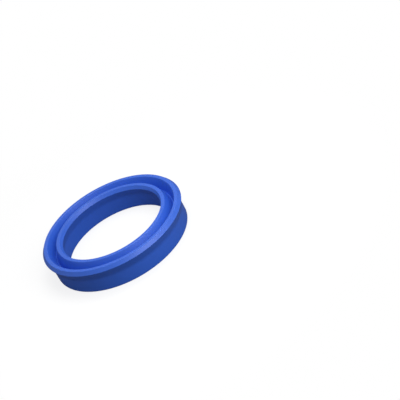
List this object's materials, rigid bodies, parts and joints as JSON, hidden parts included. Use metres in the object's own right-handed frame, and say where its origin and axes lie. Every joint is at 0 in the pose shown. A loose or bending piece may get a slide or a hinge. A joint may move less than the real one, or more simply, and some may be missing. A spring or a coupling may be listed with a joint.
{
  "type": "hydraulic u-cup seal",
  "caption": "One-piece ring with a U-shaped section whose two flared lips seal a piston rod and a cylinder bore against oil pressure.",
  "frame": {"origin": "centre of the flat heel face, on the ring's axis", "axes": "+Z along the ring's axis, from the heel towards the lips; X and Y are any two directions across it"},
  "size_m": [0.0734, 0.0734, 0.0135],
  "materials": {
    "blue_polyurethane": "satin cast polyurethane"
  },
  "bodies": {
    "root": {"seal_ring": "blue_polyurethane"}
  },
  "joints": []
}
